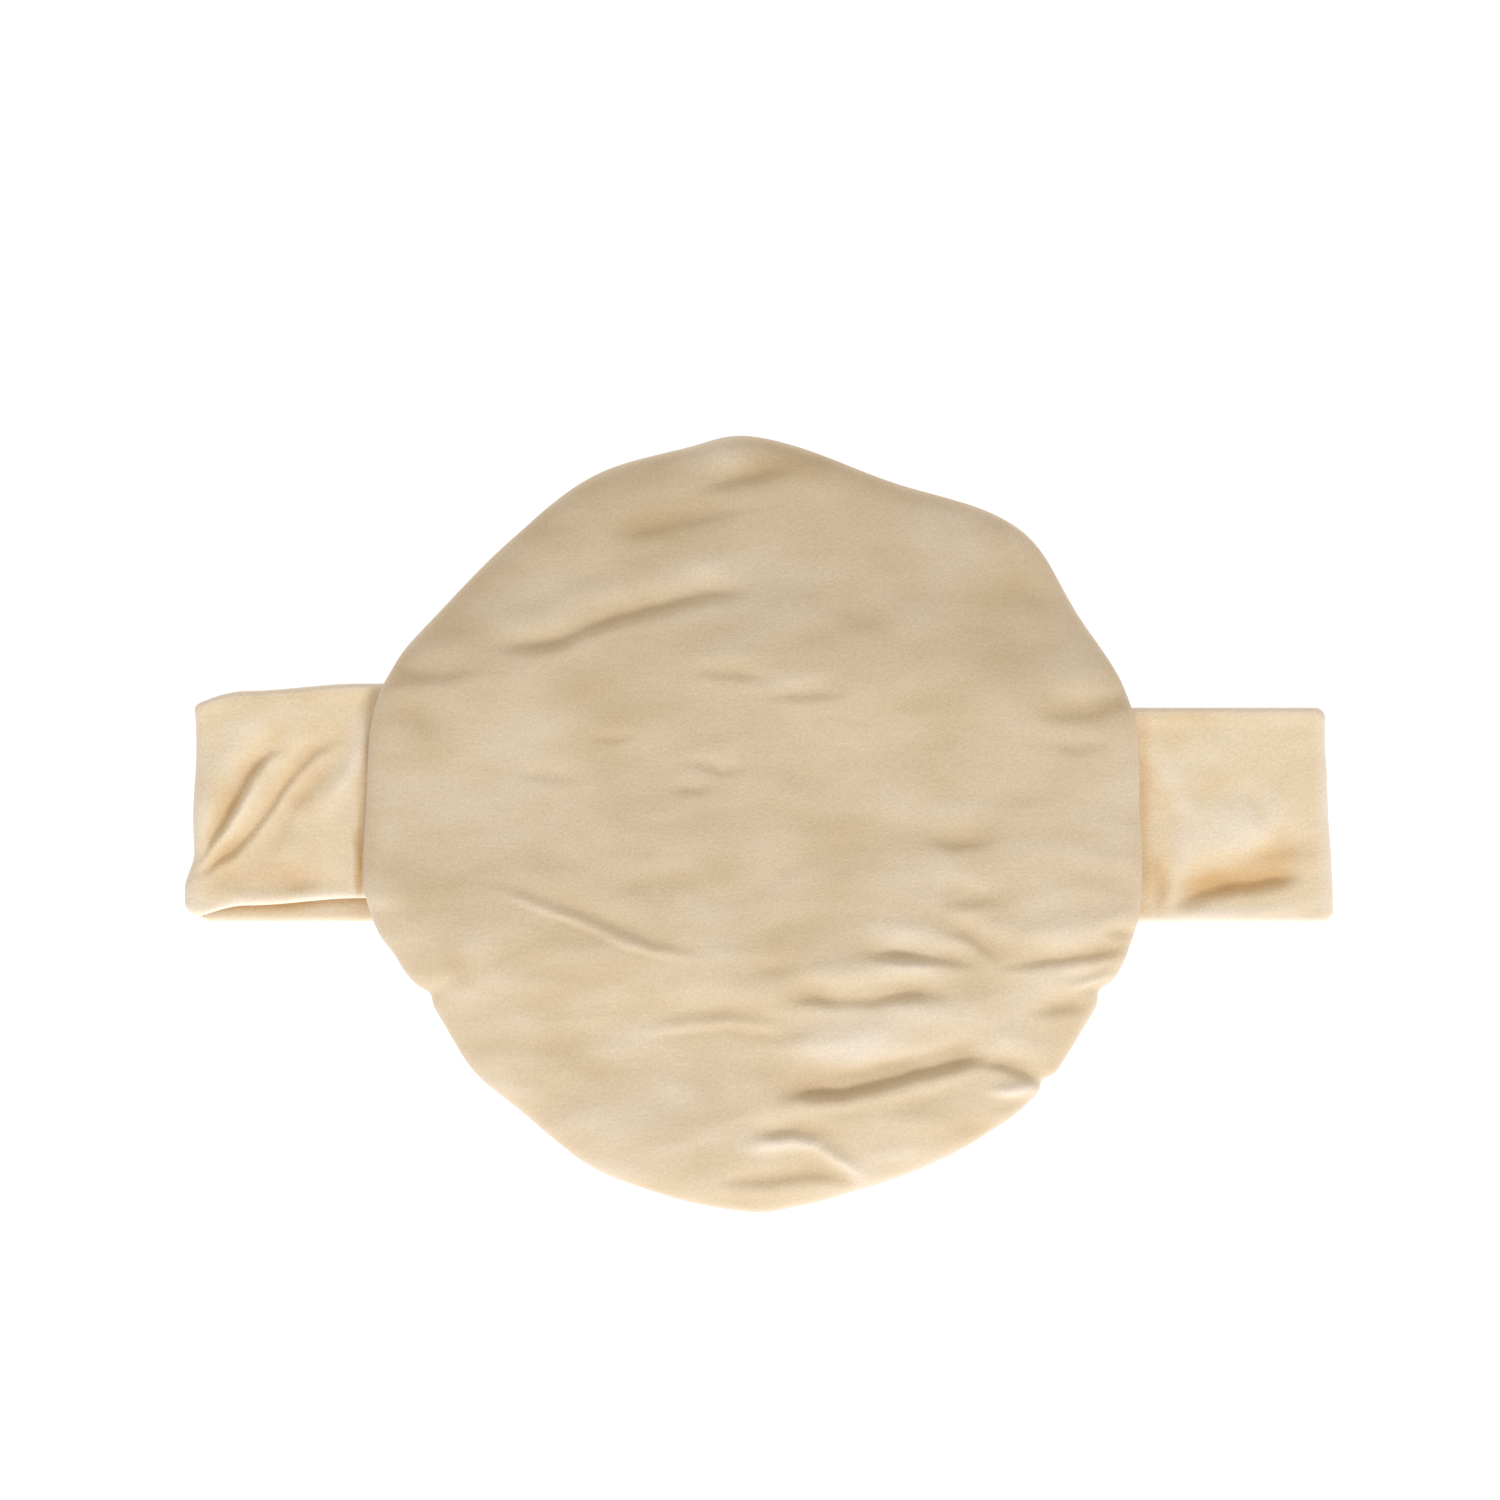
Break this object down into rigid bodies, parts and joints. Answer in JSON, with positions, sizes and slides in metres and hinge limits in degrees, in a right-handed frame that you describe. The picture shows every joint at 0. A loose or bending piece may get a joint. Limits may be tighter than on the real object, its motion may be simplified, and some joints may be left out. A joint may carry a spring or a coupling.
{
  "type": "eye mask",
  "caption": "Round padded velour eye mask that covers both eyes, on a wide flat head band folded behind it, with a hook and loop closing tab.",
  "frame": {"origin": "on the surface that the mask lies on, under the middle of its box", "axes": "+X to the wearer's left along the band, +Y up the wearer's face, +Z out of the mask's front"},
  "size_m": [0.267, 0.1802, 0.0182],
  "materials": {
    "velour": "deep soft knit velour, warm beige, patchy nap",
    "skin_velour": "shorter soft knit velour, warm beige",
    "band_velour": "short-pile knit velour, creamy beige, pressed flat",
    "lining": "closely woven black-out lining, matt",
    "wadding": "soft white polyester wadding",
    "elastic": "ribbed woven elastic, off-white",
    "fastener_tape": "woven hook and loop tape, beige",
    "thread": "twisted sewing thread, beige"
  },
  "bodies": {
    "pad": {"front_cover": "velour", "back_cover": "skin_velour", "blackout_liner": "lining", "filling": "wadding", "edge_stitch_upper": "thread", "edge_stitch_lower": "thread", "left_strap_root": "band_velour", "right_strap_root": "band_velour"},
    "left_strap": {"left_strap_cover": "band_velour", "left_strap_elastic": "elastic", "left_side_fold": "band_velour"},
    "left_back": {"left_back_cover": "band_velour", "left_back_elastic": "elastic", "loop_tape": "fastener_tape"},
    "right_strap": {"right_strap_cover": "band_velour", "right_strap_elastic": "elastic", "right_side_fold": "band_velour"},
    "right_back": {"right_back_cover": "band_velour", "right_back_elastic": "elastic"},
    "tab_neck": {"tab_neck": "band_velour"},
    "closure_tab": {"closure_tab": "band_velour", "hook_tape": "fastener_tape"}
  },
  "joints": [
    {"name": "right_band_fold", "type": "hinge", "parent": "right_back", "child": "right_strap", "pos_m": [0.13056, 0.0023, 0.00367], "axis": [0, 1, 0], "range_deg": [0, 115], "deforming": ["right_side_fold"]},
    {"name": "right_strap_swing", "type": "hinge", "parent": "right_strap", "child": "pad", "pos_m": [0.0902, 0.0023, 0.00605], "axis": [0, -1, 0], "range_deg": [0, 76]},
    {"name": "left_strap_swing", "type": "hinge", "parent": "pad", "child": "left_strap", "pos_m": [-0.0932, 0.0023, 0.00605], "axis": [0, -1, 0], "range_deg": [0, 76]},
    {"name": "left_band_fold", "type": "hinge", "parent": "left_strap", "child": "left_back", "pos_m": [-0.13356, 0.0023, 0.00367], "axis": [0, 1, 0], "range_deg": [0, 115], "deforming": ["left_side_fold"]},
    {"name": "closure_flex", "type": "hinge", "parent": "right_back", "child": "tab_neck", "pos_m": [-0.0015, 0.0023, 0.0013], "axis": [0, 1, 0], "range_deg": [0, 80]},
    {"name": "closure_peel", "type": "hinge", "parent": "tab_neck", "child": "closure_tab", "pos_m": [-0.0105, 0.0023, 0.0013], "axis": [0, -1, 0], "range_deg": [0, 90]}
  ],
  "couplings": [
    {"joint": "right_strap_swing", "follows": "right_band_fold", "ratio": 0.65295},
    {"joint": "left_strap_swing", "follows": "right_band_fold", "ratio": 0.65295},
    {"joint": "left_band_fold", "follows": "right_band_fold", "ratio": 1},
    {"joint": "closure_flex", "follows": "right_band_fold", "ratio": 0.69409}
  ]
}
